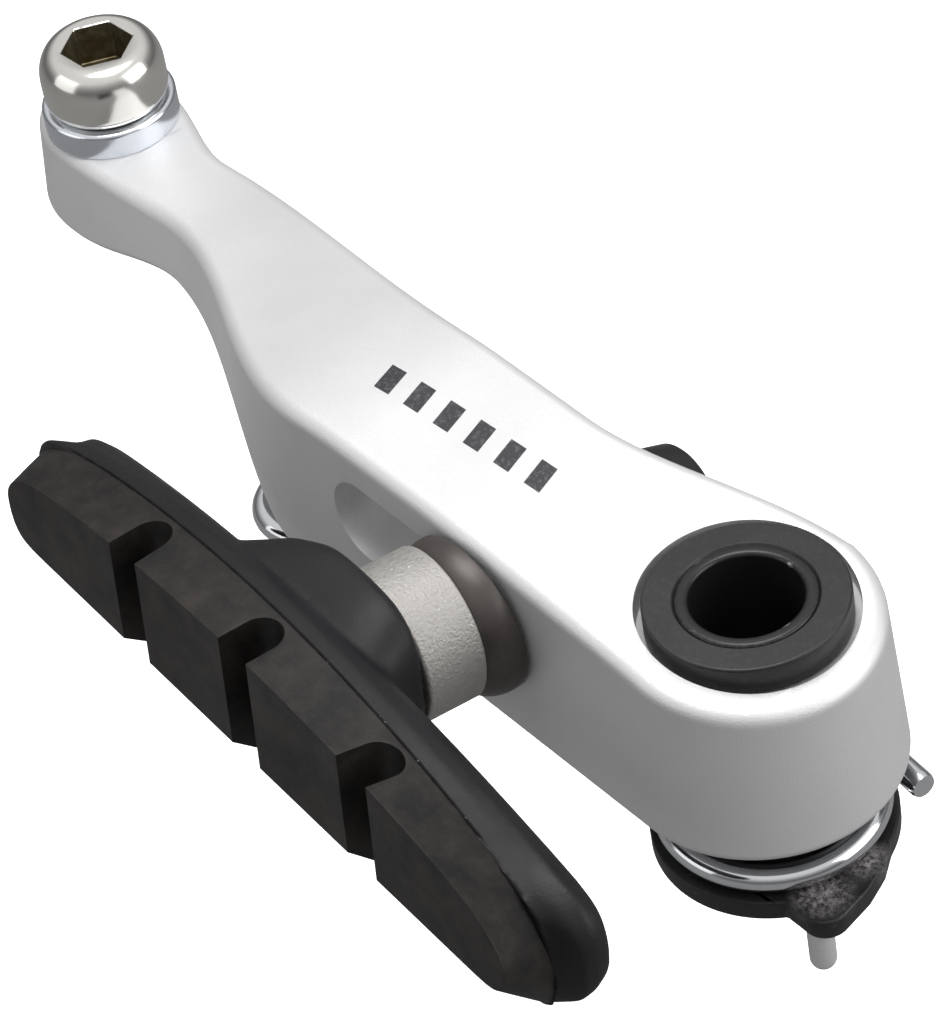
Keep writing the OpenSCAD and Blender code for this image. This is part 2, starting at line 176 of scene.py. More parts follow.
def mix(tree, fac, a, b):
    """Blends two colours, each a tuple or a socket."""
    m = node(tree, "ShaderNodeMix", data_type="RGBA")
    link(tree, fac, m.inputs[0])
    for s, v in ((m.inputs[6], a), (m.inputs[7], b)):
        if isinstance(v, tuple):
            s.default_value = (*v, 1)
        else:
            link(tree, v, s)
    return m.outputs[2]


def bumped(tree, shader, height, strength, deep):
    """Adds a bump to the shader, on top of any that it has already."""
    b = node(tree, "ShaderNodeBump", Strength=strength, Distance=deep)
    link(tree, height, b.inputs["Height"])
    for before in shader.inputs["Normal"].links:
        link(tree, before.from_socket, b.inputs["Normal"])
    link(tree, b.outputs[0], shader.inputs["Normal"])


def painted(tree, shader, mask, colour):
    """Lays one more colour over the shader's base colour where the mask is 1."""
    old = shader.inputs["Base Color"].links[0].from_socket
    link(tree, mix(tree, mask, old, colour), shader.inputs["Base Color"])


# ---------------------------------------------------------------- materials

# the noise values between which broad blotches, fine grain and patches of wear go from none to full
BROAD, FINE, PATCH = (0.3, 0.7), (0.35, 0.65), (0.42, 0.6)
# how strongly the fine grain darkens, at most
GRAIN_SHARE = 0.35
# how deep the rings left by turning are, in metres
RING_DEPTH = 0.00001


def material(name, base, rough, metal, vary=0.06, grain=3000.0, bump=0.1, rough_vary=0.08, blotch=150.0,
             wear=None, specks=None, dust=None, deep=0.00002, level=0.5):
    """A procedural finish: base colour with blotches and grain, uneven roughness and a fine bump.

    wear: bare colour, pointiness where it starts and where it is full, scale of its patches
    specks: colour, scale, size
    dust: colour, scale, noise where it starts and where it is full, strength
    """
    m = bpy.data.materials.new(name)
    m.use_nodes = True
    t = m.node_tree
    s = t.nodes["Principled BSDF"]
    s.inputs["Metallic"].default_value = metal
    s.inputs["Specular IOR Level"].default_value = level
    fine = noise(t, grain, 3.0)
    broad = noise(t, blotch, 5.0)
    dark = tuple(c * (1 - vary) for c in base)
    light = tuple(min(1.0, c * (1 + vary)) for c in base)
    colour = mix(t, span(t, broad, *BROAD, 0, 1), dark, light)
    colour = mix(t, span(t, fine, *FINE, 0, GRAIN_SHARE), colour, dark)
    if wear:
        bare, start, full, scale = wear
        edge = span(t, node(t, "ShaderNodeNewGeometry").outputs["Pointiness"], start, full, 0, 1)
        patch = span(t, noise(t, scale, 4.0, 0.7), *PATCH, 0, 1)
        colour = mix(t, maths(t, "MULTIPLY", edge, patch), colour, bare)
    if specks:
        speck, scale, size = specks
        cells = node(t, "ShaderNodeTexVoronoi", Scale=scale)
        link(t, node(t, "ShaderNodeTexCoord").outputs["Object"], cells.inputs["Vector"])
        colour = mix(t, span(t, cells.outputs["Distance"], size, size * 0.6, 0, 1), colour, speck)
    if dust:
        haze, scale, start, full, most = dust
        colour = mix(t, span(t, noise(t, scale, 8.0, 0.75), start, full, 0, most), colour, haze)
    link(t, colour, s.inputs["Base Color"])
    uneven_rough = span(t, broad, *BROAD, rough - rough_vary / 2, rough + rough_vary / 2)
    link(t, uneven_rough, s.inputs["Roughness"])
    bumped(t, s, fine, bump, deep)
    return m


def turned(m, scale, strength):
    """Adds fine rings round the object's local Z, as left by turning."""
    t = m.node_tree
    w = node(t, "ShaderNodeTexWave", wave_type="RINGS", rings_direction="Z", Scale=scale)
    w.inputs["Distortion"].default_value = 0.6
    w.inputs["Detail"].default_value = 2.0
    link(t, node(t, "ShaderNodeTexCoord").outputs["Object"], w.inputs["Vector"])
    bumped(t, t.nodes["Principled BSDF"], w.outputs["Fac"], strength, RING_DEPTH)
    return m


# the row of printed bars, in metres: its two ends and step along X, half its height, the bars' slant,
# and the row's own middle line, y = ROW_SLOPE x + ROW_Y
ROW_START, ROW_END, ROW_STEP, ROW_HALF, BAR_SLANT = 0.0185, 0.0375, 0.0032, 0.00125, 0.35
ROW_SLOPE, ROW_Y = 0.053, 0.00112
# the bars lie only on what is at least this high and looks at least this much forwards
PRINT_Z, PRINT_FACING = 0.0215, 0.6
INK = (0.05, 0.05, 0.055)


def printed(m):
    """Prints a row of plain slanted bars on the arm's front face, in place of the maker's word."""
    t = m.node_tree
    facing = node(t, "ShaderNodeSeparateXYZ")
    link(t, node(t, "ShaderNodeNewGeometry").outputs["Normal"], facing.inputs[0])
    place = node(t, "ShaderNodeSeparateXYZ")
    link(t, node(t, "ShaderNodeTexCoord").outputs["Object"], place.inputs[0])
    x, y, z = (place.outputs[axis] for axis in "XYZ")
    off = maths(t, "SUBTRACT", y, maths(t, "MULTIPLY_ADD", x, ROW_SLOPE, ROW_Y))
    along = maths(t, "MULTIPLY_ADD", off, BAR_SLANT, x)
    step = maths(t, "FRACT", maths(t, "DIVIDE", maths(t, "SUBTRACT", along, ROW_START), ROW_STEP))
    mask = maths(t, "LESS_THAN", step, 0.5)
    for also in (maths(t, "LESS_THAN", maths(t, "ABSOLUTE", off), ROW_HALF),
                 maths(t, "GREATER_THAN", z, PRINT_Z),
                 maths(t, "GREATER_THAN", along, ROW_START),
                 maths(t, "LESS_THAN", along, ROW_END),
                 maths(t, "GREATER_THAN", facing.outputs["Z"], PRINT_FACING)):
        mask = maths(t, "MULTIPLY", mask, also)
    worn = span(t, noise(t, 3000, 3.0), 0.3, 0.5, 0.9, 1.0)
    painted(t, t.nodes["Principled BSDF"], maths(t, "MULTIPLY", mask, worn), INK)
    return m


# where fluff has caught on the holder's lobe and rim, and how far it reaches, in metres
LINT = (((-0.0084, 0.0030, 0.0022), 0.0026), ((-0.0080, -0.0012, 0.0022), 0.0022))
LINT_GREY = (0.5, 0.46, 0.46)


def lint(m):
    """Grey fluff caught on the holder, fading away from each spot."""
    t = m.node_tree
    near = []
    for spot, reach in LINT:
        away = node(t, "ShaderNodeVectorMath", operation="DISTANCE")
        link(t, node(t, "ShaderNodeTexCoord").outputs["Object"], away.inputs[0])
        away.inputs[1].default_value = spot
        near.append(span(t, away.outputs["Value"], reach, reach * 0.25, 0, 1))
    strands = span(t, noise(t, 2600, 12.0, 0.85), 0.44, 0.6, 0, 0.95)
    mask = maths(t, "MULTIPLY", maths(t, "MAXIMUM", *near), strands)
    painted(t, t.nodes["Principled BSDF"], mask, LINT_GREY)
    return m


LOOKS = {
    "silver": printed(material(
        "silver_paint", (0.74, 0.74, 0.745), 0.5, 0.5, vary=0.05, grain=8500, bump=0.7,
        rough_vary=0.06, blotch=60, deep=0.00004)),
    "tube": material(
        "tube_black", (0.018, 0.018, 0.019), 0.33, 0.4, grain=6000, bump=0.12,
        wear=((0.3, 0.29, 0.28), 0.52, 0.6, 1500),
        dust=((0.12, 0.115, 0.11), 900, 0.62, 0.78, 0.4)),
    "flange": material(
        "flange_black", (0.022, 0.021, 0.022), 0.4, 0.3, vary=0.15, grain=7000, bump=0.2,
        dust=((0.07, 0.066, 0.062), 2500, 0.5, 0.75, 0.4)),
    "resin": material("bearing_resin", (0.62, 0.6, 0.55), 0.5, 0.0),
    "zinc": material("zinc", (0.66, 0.68, 0.72), 0.28, 1.0, grain=5000, bump=0.08),
    "holder": lint(material(
        "holder_resin", (0.011, 0.011, 0.012), 0.42, 0.0, vary=0.2, grain=5000, bump=0.3,
        dust=((0.2, 0.185, 0.18), 900, 0.58, 0.78, 0.35), deep=0.00004, level=0.4)),
    "pin": material("pin_steel", (0.7, 0.7, 0.69), 0.5, 0.6, vary=0.08, grain=2500, bump=0.2),
    "spring": material(
        "spring_steel", (0.74, 0.75, 0.77), 0.13, 1.0, vary=0.05, grain=1500, bump=0.12,
        dust=((0.3, 0.27, 0.22), 2500, 0.6, 0.72, 0.6)),
    "bolt": material(
        "bolt_nickel", (0.80, 0.785, 0.74), 0.16, 1.0, vary=0.04, grain=900, bump=0.1,
        dust=((0.5, 0.42, 0.26), 1200, 0.62, 0.8, 0.35)),
    "socket": material(
        "bolt_socket", (0.22, 0.20, 0.13), 0.35, 0.8, vary=0.3, grain=2500, bump=0.4, blotch=900,
        dust=((0.10, 0.06, 0.02), 700, 0.45, 0.65, 0.8)),
    "washer": turned(material(
        "washer_zinc", (0.76, 0.79, 0.84), 0.2, 1.0, grain=3000, bump=0.06), 900, 0.25),
    "rubber": material(
        "shoe_rubber", (0.006, 0.0053, 0.0053), 0.52, 0.0, vary=0.25, grain=4500, bump=0.3,
        blotch=110, rough_vary=0.16, dust=((0.046, 0.038, 0.032), 260, 0.38, 0.75, 0.65),
        deep=0.00004, level=0.3),
    "rubber_back": material(
        "shoe_rubber_back", (0.0085, 0.0082, 0.0095), 0.52, 0.0, vary=0.25, grain=4500, bump=0.4,
        blotch=160, rough_vary=0.2, specks=((0.07, 0.065, 0.06), 1500, 0.025), deep=0.00004, level=0.3),
    "flash": material(
        "mould_line", (0.0035, 0.0032, 0.0035), 0.6, 0.0, vary=0.3, grain=3500, bump=0.6, blotch=700,
        specks=((0.16, 0.15, 0.14), 1300, 0.13), deep=0.00006, level=0.2),
    "spacer": material(
        "spacer_steel", (0.40, 0.385, 0.365), 0.55, 0.6, vary=0.1, grain=4200, bump=1.0, blotch=2500,
        rough_vary=0.2, specks=((0.85, 0.83, 0.8), 2600, 0.11), deep=0.0001),
    "dome": material(
        "dome_steel", (0.085, 0.075, 0.07), 0.42, 0.55, vary=0.2, grain=2500, bump=0.15, blotch=300),
    "nut": material("nut_black", (0.03, 0.03, 0.031), 0.35, 0.6, wear=((0.3, 0.3, 0.3), 0.54, 0.6, 800)),
    "plate": material("plate_steel", (0.5, 0.51, 0.52), 0.35, 1.0),
    "floor": material(
        "floor_pale", (0.9, 0.9, 0.9), 0.9, 0.0, vary=0.01, grain=60, bump=0.0, blotch=2, level=0.1),
}


# ---------------------------------------------------------------- points and places

def ramp(x, a, b):
    """Rises smoothly from 0 at a to 1 at b."""
    t = min(1, max(0, (x - a) / (b - a)))
    return t * t * (3 - 2 * t)


def heading(angle):
    """The direction at an angle in degrees, as its cosine and sine."""
    return math.cos(math.radians(angle)), math.sin(math.radians(angle))


def polar(r, angle, x=0.0, y=0.0):
    """The point at a radius and an angle in degrees round (x, y)."""
    c, s = heading(angle)
    return x + r * c, y + r * s


def moved(x, y, z):
    """A shift given in mm."""
    return Matrix.Translation(Vector((x, y, z)) * MM)


def spun(angle, axis):
    return Matrix.Rotation(math.radians(angle), 4, axis)


# a rounded corner takes at most this share of each side it joins
CORNER_SHARE = 0.49


def rounded(points, steps=5):
    """A closed outline with its corners rounded: each point is (x, y) or (x, y, radius)."""
    out = []
    n = len(points)
    for i, p in enumerate(points):
        r = p[2] if len(p) > 2 else 0.0
        a, b, c = (Vector(points[(i + k) % n][:2]) for k in (-1, 0, 1))
        if r <= 0:
            out.append(tuple(b))
            continue
        u, v = (a - b).normalized(), (c - b).normalized()
        half = max(0.01, math.acos(max(-1, min(1, u.dot(v)))) / 2)
        room = CORNER_SHARE * min((a - b).length, (c - b).length)
        reach = min(r / max(1e-6, math.tan(half)), room)
        centre = b + (u + v).normalized() * (reach * math.tan(half) / math.sin(half))
        s, e = b + u * reach - centre, b + v * reach - centre
        total = s.angle_signed(e) if s.length and e.length else 0
        for k in range(steps + 1):
            q = s.copy()
            q.rotate(Matrix.Rotation(-total * k / steps, 2))
            out.append(tuple(centre + q))
    return out


# ---------------------------------------------------------------- mesh code

# vertices closer than this, in metres, are one
MERGE = 1e-7
# how far large faces outweigh small ones in smooth shading; 50 counts them alike
FACE_WEIGHT = 60


def make(name, verts, faces, mat, smooth=True, matrix=None):
    """An object from vertices in mm, with one of the materials above."""
    mesh = bpy.data.meshes.new(name)
    mesh.from_pydata([tuple(c * MM for c in v) for v in verts], [], faces)
    bm = bmesh.new()
    bm.from_mesh(mesh)
    bmesh.ops.remove_doubles(bm, verts=bm.verts, dist=MERGE)
    bmesh.ops.recalc_face_normals(bm, faces=bm.faces)
    bm.to_mesh(mesh)
    bm.free()
    o = bpy.data.objects.new(name, mesh)
    SCENE.collection.objects.link(o)
    if matrix:
        mesh.transform(matrix)
    mesh.materials.append(LOOKS[mat])
    if smooth:
        mesh.polygons.foreach_set("use_smooth", [True] * len(mesh.polygons))
    return o


def bake(o):
    """Applies every modifier."""
    bpy.context.view_layer.update()
    dg = bpy.context.evaluated_depsgraph_get()
    mesh = bpy.data.meshes.new_from_object(o.evaluated_get(dg))
    old = o.data
    o.modifiers.clear()
    o.data = mesh
    bpy.data.meshes.remove(old)


def cut(o, tools, mode="DIFFERENCE"):
    """Takes the tools away from the object, or joins them to it, and deletes them."""
    for tool in tools:
        b = o.modifiers.new("cut", "BOOLEAN")
        b.operation = mode
        b.solver = "EXACT"
        b.object = tool
    bake(o)
    for tool in tools:
        bpy.data.objects.remove(tool)


def soften(o, width, angle, segments=3, clamp=True):
    """Rounds every edge sharper than the angle."""
    b = o.modifiers.new("edges", "BEVEL")
    b.width = width * MM
    b.segments = segments
    b.limit_method = "ANGLE"
    b.angle_limit = math.radians(angle)
    b.harden_normals = False
    b.use_clamp_overlap = clamp
    bake(o)


def by_angle(o, angle=32):
    """Smooth shading with creases kept where faces meet at more than the angle."""
    o.data.polygons.foreach_set("use_smooth", [True] * len(o.data.polygons))
    o.data.set_sharp_from_angle(angle=math.radians(angle))
    w = o.modifiers.new("normals", "WEIGHTED_NORMAL")
    w.keep_sharp = True
    w.weight = FACE_WEIGHT


def skin(count, n, closed=False):
    """Faces between each of count rings of n points and the next, and back to the first if closed."""
    faces = []
    for k in range(count if closed else count - 1):
        j = (k + 1) % count
        for i in range(n):
            h = (i + 1) % n
            faces.append((k * n + i, k * n + h, j * n + h, j * n + i))
    return faces


def lathe(name, profile, mat, matrix=None, segments=128):
    """Turns a closed outline of (radius, height) round Z."""
    verts = []
    for k in range(segments):
        a = 2 * math.pi * k / segments
        verts += [(r * math.cos(a), r * math.sin(a), z) for r, z in profile]
    return make(name, verts, skin(segments, len(profile), True), mat, matrix=matrix)


def prism(name, outline, z0, z1, mat="silver", matrix=None):
    """An outline of (x, y) made solid between two heights."""
    n = len(outline)
    verts = [(x, y, z) for z in (z0, z1) for x, y in outline]
    faces = [tuple(range(n - 1, -1, -1)), tuple(range(n, 2 * n)), *skin(2, n)]
    return make(name, verts, faces, mat, smooth=False, matrix=matrix)


def cap(verts, ring, start, across):
    """Closes one ring, whose first half mirrors its second, with rows of faces from side to side."""
    n = len(ring)
    h = n // 2
    rows = []
    for i in range(h + 1):
        m = (n - i) % n
        row = [start + i]
        if i not in (0, h):
            for s in range(1, across):
                verts.append(tuple(Vector(ring[i]).lerp(Vector(ring[m]), s / across)))
                row.append(len(verts) - 1)
            row.append(start + m)
        rows.append(row)
    faces = []
    for p, q in zip(rows, rows[1:]):
        if len(p) == 1:
            faces += [(p[0], q[s], q[s + 1]) for s in range(len(q) - 1)]
        elif len(q) == 1:
            faces += [(p[s], q[0], p[s + 1]) for s in range(len(p) - 1)]
        else:
            faces += [(p[s], q[s], q[s + 1], p[s + 1]) for s in range(len(p) - 1)]
    return faces


def loft(name, rings, mat, across=1, matrix=None):
    """A closed skin through rings of equal length, capped at both ends."""
    n = len(rings[0])
    verts = [p for r in rings for p in r]
    faces = skin(len(rings), n)
    faces += cap(verts, rings[0], 0, across)
    faces += cap(verts, rings[-1], (len(rings) - 1) * n, across)
    return make(name, verts, faces, mat, matrix=matrix)


def disc(x, y, r, z0, z1, steps=96):
    """A round cutter."""
    return prism("cutter", [polar(r, 360 * k / steps, x, y) for k in range(steps)], z0, z1)


def hexagon(r, z0, z1, turn=0.0):
    """A six-sided cutter, turned by some degrees."""
    return prism("cutter", [polar(r, 60 * k + turn) for k in range(6)], z0, z1)


def sphere_line(r0, r1, ball, steps=14):
    """The outline of a ball of that radius, between two radii round the axis."""
    rs = [r0 + (r1 - r0) * k / steps for k in range(steps + 1)]
    return [(r, math.sqrt(ball * ball - r * r)) for r in rs]


def done(o, body, slot, *nodes):
    """Puts a piece on the body it rides on and hides the CAD nodes it replaces; slot, what it is made of,
    is not used.
    """
    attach(o, body)
    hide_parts(*nodes)


def part(name, profile, mat, body, slot, nodes, matrix=None, angle=32, segments=128):
    """A turned piece."""
    o = lathe(name, profile, mat, matrix, segments)
    by_angle(o, angle)
    done(o, body, slot, *nodes)


# ---------------------------------------------------------------- sizes in mm, as in part.scad

# pivot: tube, flange, sleeve and the recess round the flange
TUBE_LEN, BORE_R, TUBE_R = 23.5, 4.0, 5.0
FLANGE_R, FLANGE_T, SLEEVE_R, RECESS_R = 7.25, 2.4, 6.2, 7.8
FLANGE_Z = TUBE_LEN - FLANGE_T
REAR_WASHER_R, REAR_WASHER_Z, REAR_WASHER_T = 6.4, 6.95, 0.9
# arm: faces, cable bolt's place and seat, ends, edges and the lean of its walls
ARM_Z0, ARM_Z1, CABLE_X, CABLE_Y, CABLE_HOLE_R = 7.9, 23.8, 83.7, -5.75, 3.03
SEAT_Z, SEAT_R = 16.6, 5.5
BOSS_R, BOSS_L, END_R, EDGE_R, REAR_EDGE_R, DRAFT = 6.1, 7.9, 10.35, 1.2, 1.0, 0.6
ARM_X0 = -END_R - 0.05
# slot for the shoe's stud, the web it goes through and the pocket behind the web
SLOT_Z, SLOT_HW, SLOT_X0, SLOT_X1, WEB_Y1, WEB_Y0 = 17.5, 3.3, 16.0, 30.7, 10.6, 3.6
POCKET_HW, POCKET_X0, POCKET_X1, POCKET_Z = 5.5, 15.0, 33.0, SLOT_Z - 0.15
# shoe: its two angles in degrees, and the grooves' spacing and width
TOE, TILT, GROOVE_GAP, GROOVE_W = 4.5, 4.0, 14.6, 3.4
# washers: inner and outer ball, inner dome, spacer, those outside the web, and the stud through them
BALL_R, BALL_S, DOME_R, SPACER_R, OUTER_R, STUD_R = 8.1, 7.2, 6.2, 5.85, 5.0, 3.0
# along the stud from the balls' centre: the spacer's far face and the flat washer; and its thickness
SPACER_END, WASHER_V, WASHER_T = 10.75, -8.3, 1.0
# the holes of the washers that go with the stud, and of the domes, in which the stud swings
WASHER_HOLE_R, DOME_HOLE_R = STUD_R + 0.1, 4.2
# room between two spherical faces that slide on each other
BALL_GAP = 0.03
# kept between flat faces that slide or turn on each other
GAP = 0.01
# spring: wire and coil, and the holder's plate; then the stopper pin, and where hook, screw and wire lie
WIRE_R, COIL_R, PLATE_R = 1.0, 7.55, 8.9
PIN_POS, PIN_ANG, PIN_R, PIN_LEN, PIN_ROOT_R, PIN_TOP = 9.8, 156, 0.98, 3.0, 0.6, 1.8
HOOK_X, HOOK_Y, HOOK_HOLE_R, COIL_Z, SHORT_Z, LEG_Z = 45.3, 5.3, 1.5, 3.35, 5.6, 6.75
SCREW_X, SCREW_R = 6.0, 1.5
# circumradius of a 5 mm hexagon socket
SOCKET_R = 2.9
# cutters reach this far beyond what they cut
ABOVE, ASIDE = 40, 20

BALL = (17.9, (WEB_Y0 + WEB_Y1) / 2, SLOT_Z)
# the shoe's own frame, with Y along the stud, and the same with Z along the stud outwards and inwards
SHOE = moved(*BALL) @ spun(-TOE, "Z") @ spun(TILT, "X")
OUTWARD = SHOE @ spun(-90, "X")
INWARD = SHOE @ spun(90, "X")
PIN_XY = polar(PIN_POS, PIN_ANG)


# ---------------------------------------------------------------- arm

# side_pad, side_far, face_front and face_rear are part.scad's formulas for the arm's outline and faces

def side_pad(x):
    return END_R + 0.35 - (END_R + 0.25) * ramp(x, 38, 71) + 0.25 * ramp(x, 74, 83)


def side_far(x):
    return (-5.15 - (END_R - 5.5) * (1 - ramp(x, -2, 22)) - 3.95 * ramp(x, 36, 72)
            - 2.75 * ramp(x, 72, CABLE_X))


def face_front(x):
    return ARM_Z1 - 2.4 * (max(0, 25 - x) / 35) ** 2 - (ARM_Z1 - SEAT_Z) * ramp(x, 31.5, 79.5)


def face_rear(x):
    return ARM_Z0 + 3.5 * ramp(x, 43, 54) - 3.2 * ramp(x, 68, 83)


def arm_row(x):
    """Middle and half width of the arm at x."""
    if x < 0:
        return 0.35, END_R * math.sqrt(max(0, 1 - (x / ARM_X0) ** 2))
    if x > CABLE_X:
        return CABLE_Y, BOSS_R * math.sqrt(max(0, 1 - ((x - CABLE_X) / BOSS_L) ** 2))
    return (side_pad(x) + side_far(x)) / 2, (side_pad(x) - side_far(x)) / 2


def arm_outline():
    """The arm seen from the front, with its points close together round both ends."""
    xs = [ARM_X0 * heading(a)[0] for a in range(0, 90, 4)]
    xs += [CABLE_X * k / 130 for k in range(131)]
    xs += [CABLE_X + BOSS_L * heading(a)[0] for a in range(88, -1, -4)]
    high = [(x, arm_row(x)[0] + arm_row(x)[1]) for x in xs]
    low = [(x, arm_row(x)[0] - arm_row(x)[1]) for x in xs[-2:0:-1]]
    return high + low


def stadium(x0, x1, z, r, y0, y1, steps=24):
    """A cutter for a slot through the arm's side."""
    pts = [polar(r, -90 + 180 * k / steps, x1, z) for k in range(steps + 1)]
    pts += [polar(r, 90 + 180 * k / steps, x0, z) for k in range(steps + 1)]
    return prism("cutter", pts, -y1, -y0, matrix=spun(90, "X"))


def add_arm():
    out = arm_outline()
    ins = []
    for before, after in zip(out[-1:] + out[:-1], out[1:] + out[:1]):
        d = Vector(after) - Vector(before)
        ins.append(Vector((d.y, -d.x)).normalized())

    def ring(inset, face, drop):
        return [(p[0] + inset * m.x, p[1] + inset * m.y, face(p[0]) + drop) for p, m in zip(out, ins)]

    rings = []
    for a in range(90, -1, -15):
        c, s = heading(a)
        rings.append(ring(REAR_EDGE_R * (1 - c), face_rear, REAR_EDGE_R * (1 - s)))
    for a in range(0, 91, 9):
        c, s = heading(a)
        rings.append(ring(DRAFT + EDGE_R * (1 - c), face_front, -EDGE_R * (1 - s)))
    arm = loft("arm_body", rings, "silver", across=3)
    cut(arm, [
        disc(0, 0, SLEEVE_R, -1, ABOVE),
        disc(0, 0, RECESS_R, FLANGE_Z - 0.1, ABOVE, 128),
        disc(CABLE_X, CABLE_Y, CABLE_HOLE_R, 0, ABOVE, 64),
        disc(CABLE_X, CABLE_Y, SEAT_R, SEAT_Z, ABOVE, 64),
        stadium(SLOT_X0, SLOT_X1, SLOT_Z, SLOT_HW, -ASIDE, ASIDE),
        stadium(POCKET_X0, POCKET_X1, POCKET_Z, POCKET_HW, -ASIDE, WEB_Y0),
        disc(HOOK_X, HOOK_Y, HOOK_HOLE_R, 0, 12, 48),
    ])
    bm = bmesh.new()
    bm.from_mesh(arm.data)
    bmesh.ops.dissolve_limit(bm, angle_limit=math.radians(0.3), verts=bm.verts, edges=bm.edges)
    bmesh.ops.remove_doubles(bm, verts=bm.verts, dist=0.03 * MM)
    bmesh.ops.triangulate(bm, faces=[f for f in bm.faces if len(f.verts) > 4])
    bm.to_mesh(arm.data)
    bm.free()
    soften(arm, 0.25, 42)
    by_angle(arm, 40)
    done(arm, "arm", "arm_silver", "arm")


# ---------------------------------------------------------------- shoe

# the shoe's outline at a depth: half length, depth from the spacer, top and bottom edge at the middle,
# the top's curve and slope, the bottom's slope, and how far the outline is shifted along the shoe
BACK = [
    (31.0, 3.2, 3.4, 4.3, 0.0030, -0.01, 0, 0),
    (32.0, 3.7, 4.7, 5.2, 0.0035, -0.01, 0, 0),
    (32.4, 4.8, 6.2, 5.8, 0.0042, 0, 0, 0),
    (32.4, 6.0, 6.9, 6.1, 0.0050, 0.01, 0, 0),
    (32.9, 7.2, 6.95, 7.0, 0.0052, 0.016, 0, 2.3),
    (32.7, 7.7, 6.9, 6.5, 0.0050, 0.011, 0.004, 2.1),
]
FACE = (31.8, 11.7, 6.7, 3.05, 0.0035, -0.027, 0.04, 0.2)
# the boss round the stud: its middle along and across the shoe, half length, half height, depth
BOSS = [
    (0.9, 0.6, 6.2, 6.2, 0.05), (0.9, 0.6, 6.8, 6.4, 0.5), (1.8, 0.6, 8.0, 6.35, 1.6),
    (2.3, 0.4, 9.1, 6.2, 3.0), (2.6, 0.2, 10.6, 6.0, 4.4), (2.9, 0.1, 11.6, 5.8, 5.6),
]
# how square the boss is, from 1, an oval, towards 0, a box; its edge's rounding and how deep that goes
BOSS_SQUARE, BOSS_EDGE_R, BOSS_EDGE_DEPTH = 0.62, 0.45, 0.6
# depths at which the holder's outline is set, those of the mould line and of the blocks' first outline,
# just in front of it, the grooves' floor and the end of the stud's hole
DEPTHS = (3.2, 3.35, 3.7, 4.2, 4.8, 5.4, 6.0, 6.6, 7.0, 7.2, 7.4, 7.55)
MOULD_LINE, BLOCK_START, GROOVE_FLOOR, HOLE_END = 7.2, 7.25, 7.7, 7.0
# the holder's surface is made again from cubes of this size, to melt the boss into it
VOXEL = 0.26
# how square the outline's ends are: top edge of blocks and mould line, top edge of the holder, bottom edge
TOP_SQUARE, HOLDER_SQUARE, LOW_SQUARE = 14, 34, 40
# the mould line's thickness, how uneven it is in long and in short waves, and half its width
FLASH, FLASH_LONG, FLASH_SHORT, FLASH_HALF = 0.19, 0.10, 0.06, 0.11


def between(rows, key, v):
    """The row of numbers at depth v, blended between the rows either side."""
    for a, b in zip(rows, rows[1:]):
        if a[key] <= v <= b[key]:
            t = (v - a[key]) / (b[key] - a[key])
            return [p + (q - p) * t for p, q in zip(a, b)]
    return list(rows[-1] if v > rows[-1][key] else rows[0])


def shoe_edge(q, u, t, up, n):
    """Height of the outline's top or bottom edge at u, where t runs from -1 to 1 along the shoe."""
    hi = q[2] - q[4] * u * u + q[5] * u
    lo = -q[3] - q[6] * u
    end_round = math.sqrt(max(0, 1 - abs(t) ** n))
    return (hi + lo) / 2 + (1 if up else -1) * end_round * (hi - lo) / 2


def shoe_outline(q, v, grow=0.0, steps=60, top_n=TOP_SQUARE):
    """One row of the tables above as a ring of points at v along the stud."""
    top, bottom = [], []
    for i in range(steps + 1):
        t = -math.cos(math.pi * i / steps)
        u = q[7] + (q[0] + grow) * t
        top.append((u, v, shoe_edge(q, u, t, True, top_n) + grow))
        bottom.append((u, v, shoe_edge(q, u, t, False, LOW_SQUARE) - grow))
    return top + bottom[-2:0:-1]


def boss_ring(depth, steps=96):
    """The boss's outline at a depth from the spacer."""
    u, w, a, b, d = between(BOSS, 4, depth)
    r = BOSS_EDGE_R * max(0, 1 - d / BOSS_EDGE_DEPTH) ** 2
    ring = []
    for i in range(steps):
        c, s = heading(360 * i / steps)
        ring.append((u - (a - r) * math.copysign(abs(c) ** BOSS_SQUARE, c), SPACER_END + d,
                     w + (b - r) * math.copysign(abs(s) ** BOSS_SQUARE, s)))
    return ring


def add_holder_back():
    """The shoe's moulded back, with the boss round the stud melted into it."""
    rings = [shoe_outline(between(BACK, 1, d), SPACER_END + d, top_n=HOLDER_SQUARE) for d in DEPTHS]
    holder = loft("shoe_rubber_body", rings, "rubber_back", across=10, matrix=SHOE)
    low, high = BOSS[0][4], BOSS[-1][4]
    rings = [boss_ring(low + (high - low) * k / 14) for k in range(15)]
    cut(holder, [loft("boss", rings, "rubber_back", across=6, matrix=SHOE)], "UNION")
    rm = holder.modifiers.new("remesh", "REMESH")
    rm.mode = "VOXEL"
    rm.voxel_size = VOXEL * MM
    bake(holder)
    sm = holder.modifiers.new("smooth", "SMOOTH")
    sm.factor, sm.iterations = 0.5, 5
    bake(holder)
    hole = disc(0, 0, STUD_R + 0.02, SPACER_END - 1, SPACER_END + HOLE_END, 48)
    hole.data.transform(OUTWARD)
    cut(holder, [hole])
    by_angle(holder, 50)
    done(holder, "shoe", "shoe_rubber", "shoe_rubber")


